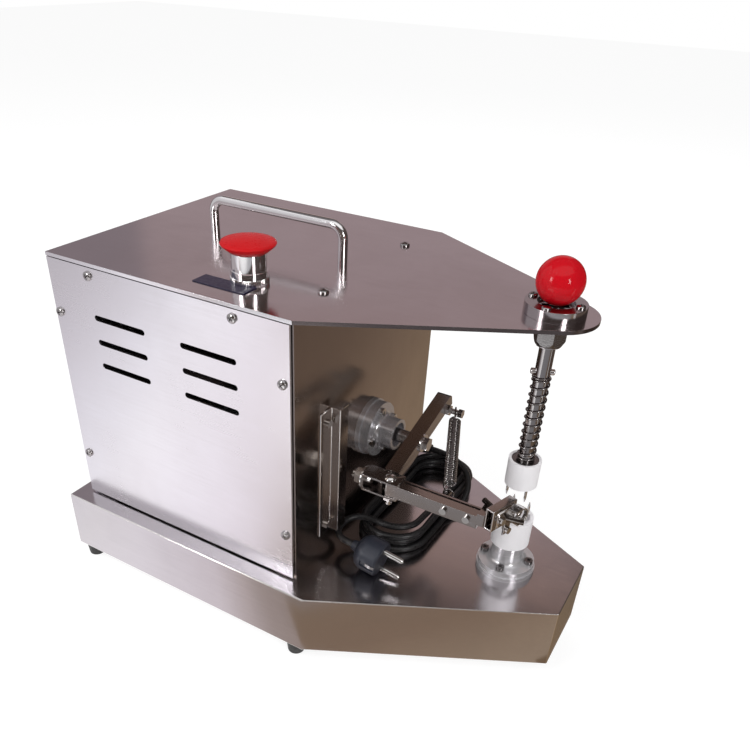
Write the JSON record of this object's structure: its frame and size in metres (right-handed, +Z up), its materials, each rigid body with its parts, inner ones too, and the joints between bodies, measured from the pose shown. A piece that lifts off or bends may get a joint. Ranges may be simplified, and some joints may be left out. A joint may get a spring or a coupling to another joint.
{
  "type": "fruit peeling machine",
  "caption": "Worktop fruit peeler: sheet metal housing on a pointed base, driven fork below, sprung chuck above, and a peeling blade on a sweeping sprung arm.",
  "frame": {"origin": "on the floor under the middle of the base, at the bottom of the feet", "axes": "+X from the housing towards the nose with the spindle, +Z up, +Y to the machine's left seen from behind"},
  "size_m": [0.46, 0.274, 0.3525],
  "materials": {
    "polished_sheet": "polished stainless sheet",
    "foot_rubber": "matt",
    "bright_fastener": "bright plated",
    "chrome_rod": "polished",
    "blue_plate": "satin, bare of lettering",
    "black_plastic": "moulded",
    "red_plastic": "gloss",
    "dark_steel": "turned",
    "turned_aluminium": "turned",
    "motor_steel": "satin paint",
    "belt_rubber": "matt",
    "gear_brass": "cut",
    "bar_steel": "polished bar",
    "spring_steel": "drawn wire",
    "white_nylon": "turned, slightly translucent",
    "cord_sheath": "semi matt sheath"
  },
  "bodies": {
    "frame": {"base_tray": "polished_sheet", "bottom_cover": "polished_sheet", "rubber_feet": "foot_rubber", "front_panel": "polished_sheet", "rear_panel": "polished_sheet", "left_side_cover": "polished_sheet", "right_side_cover": "polished_sheet", "cover_screws": "bright_fastener", "top_plate": "polished_sheet", "top_screws": "bright_fastener", "carry_handle": "chrome_rod", "handle_screws": "bright_fastener", "legend_plate": "blue_plate", "button_bezel": "chrome_rod", "switch_block": "black_plastic", "guide_bush": "dark_steel", "bush_nut": "dark_steel", "bush_screws": "bright_fastener", "panel_bracket": "polished_sheet", "panel_screws": "bright_fastener", "sweep_housing": "turned_aluminium", "fork_housing": "turned_aluminium", "fork_housing_screws": "dark_steel", "spin_motor": "motor_steel", "drive_belt": "belt_rubber", "sweep_gearmotor": "motor_steel", "gearmotor_bracket": "polished_sheet", "cord_gland": "black_plastic", "power_cord": "cord_sheath", "cord_coil": "cord_sheath", "plug_lead": "cord_sheath", "plug_body": "black_plastic", "plug_pins": "bright_fastener"},
    "spindle": {"lift_shaft": "chrome_rod", "ball_knob": "red_plastic", "cross_pin": "bright_fastener", "lift_spring": "spring_steel"},
    "chuck": {"chuck": "white_nylon", "chuck_prongs": "dark_steel", "chuck_bearing": "dark_steel"},
    "fork": {"fork_cup": "white_nylon", "fork_prongs": "dark_steel", "fork_shaft": "dark_steel", "fork_pulley": "turned_aluminium"},
    "motor_rotor": {"motor_pulley": "turned_aluminium"},
    "arm": {"sweep_lever": "bar_steel", "sweep_shaft": "dark_steel", "sweep_gear": "gear_brass", "lever_bolt": "bright_fastener", "eye_stud": "bright_fastener", "hinge_bolt": "bright_fastener", "stop_screw": "bright_fastener", "arm_spring": "spring_steel"},
    "pinion": {"drive_pinion": "dark_steel"},
    "blade": {"blade_arm": "bar_steel", "blade_holder": "bar_steel", "peeling_blade": "bright_fastener", "holder_screws": "bright_fastener"},
    "button": {"stop_button": "red_plastic"}
  },
  "joints": [
    {"name": "spindle_lift", "type": "slide", "parent": "frame", "child": "spindle", "axis": [0, 0, 1], "range_m": [0, 0.065], "deforming": ["lift_spring"]},
    {"name": "chuck_spin", "type": "hinge", "parent": "spindle", "child": "chuck", "pos_m": [0.168, 0, 0.17], "axis": [0, 0, 1], "continuous": true},
    {"name": "fork_spin", "type": "hinge", "parent": "frame", "child": "fork", "pos_m": [0.168, 0, 0.08], "axis": [0, 0, 1], "continuous": true},
    {"name": "motor_spin", "type": "hinge", "parent": "frame", "child": "motor_rotor", "pos_m": [-0.07, 0.07, 0.05], "axis": [0, 0, 1], "continuous": true},
    {"name": "arm_sweep", "type": "hinge", "parent": "frame", "child": "arm", "pos_m": [0.06, 0, 0.1695], "axis": [1, 0, 0], "range_deg": [-65, 25]},
    {"name": "pinion_spin", "type": "hinge", "parent": "frame", "child": "pinion", "pos_m": [-0.03, 0, 0.1191], "axis": [1, 0, 0], "range_deg": [-65, 165]},
    {"name": "blade_swing", "type": "hinge", "parent": "arm", "child": "blade", "pos_m": [0.074, -0.052, 0.1535], "axis": [0, 0, 1], "range_deg": [-22, 0], "stiffness_Nm_per_rad": 0.3, "deforming": ["arm_spring"]},
    {"name": "button_press", "type": "slide", "parent": "frame", "child": "button", "axis": [0, 0, -1], "range_m": [0, 0.004], "stiffness_N_per_m": 800}
  ],
  "couplings": [
    {"joint": "motor_spin", "follows": "fork_spin", "ratio": 2},
    {"joint": "pinion_spin", "follows": "arm_sweep", "ratio": -2.5}
  ]
}
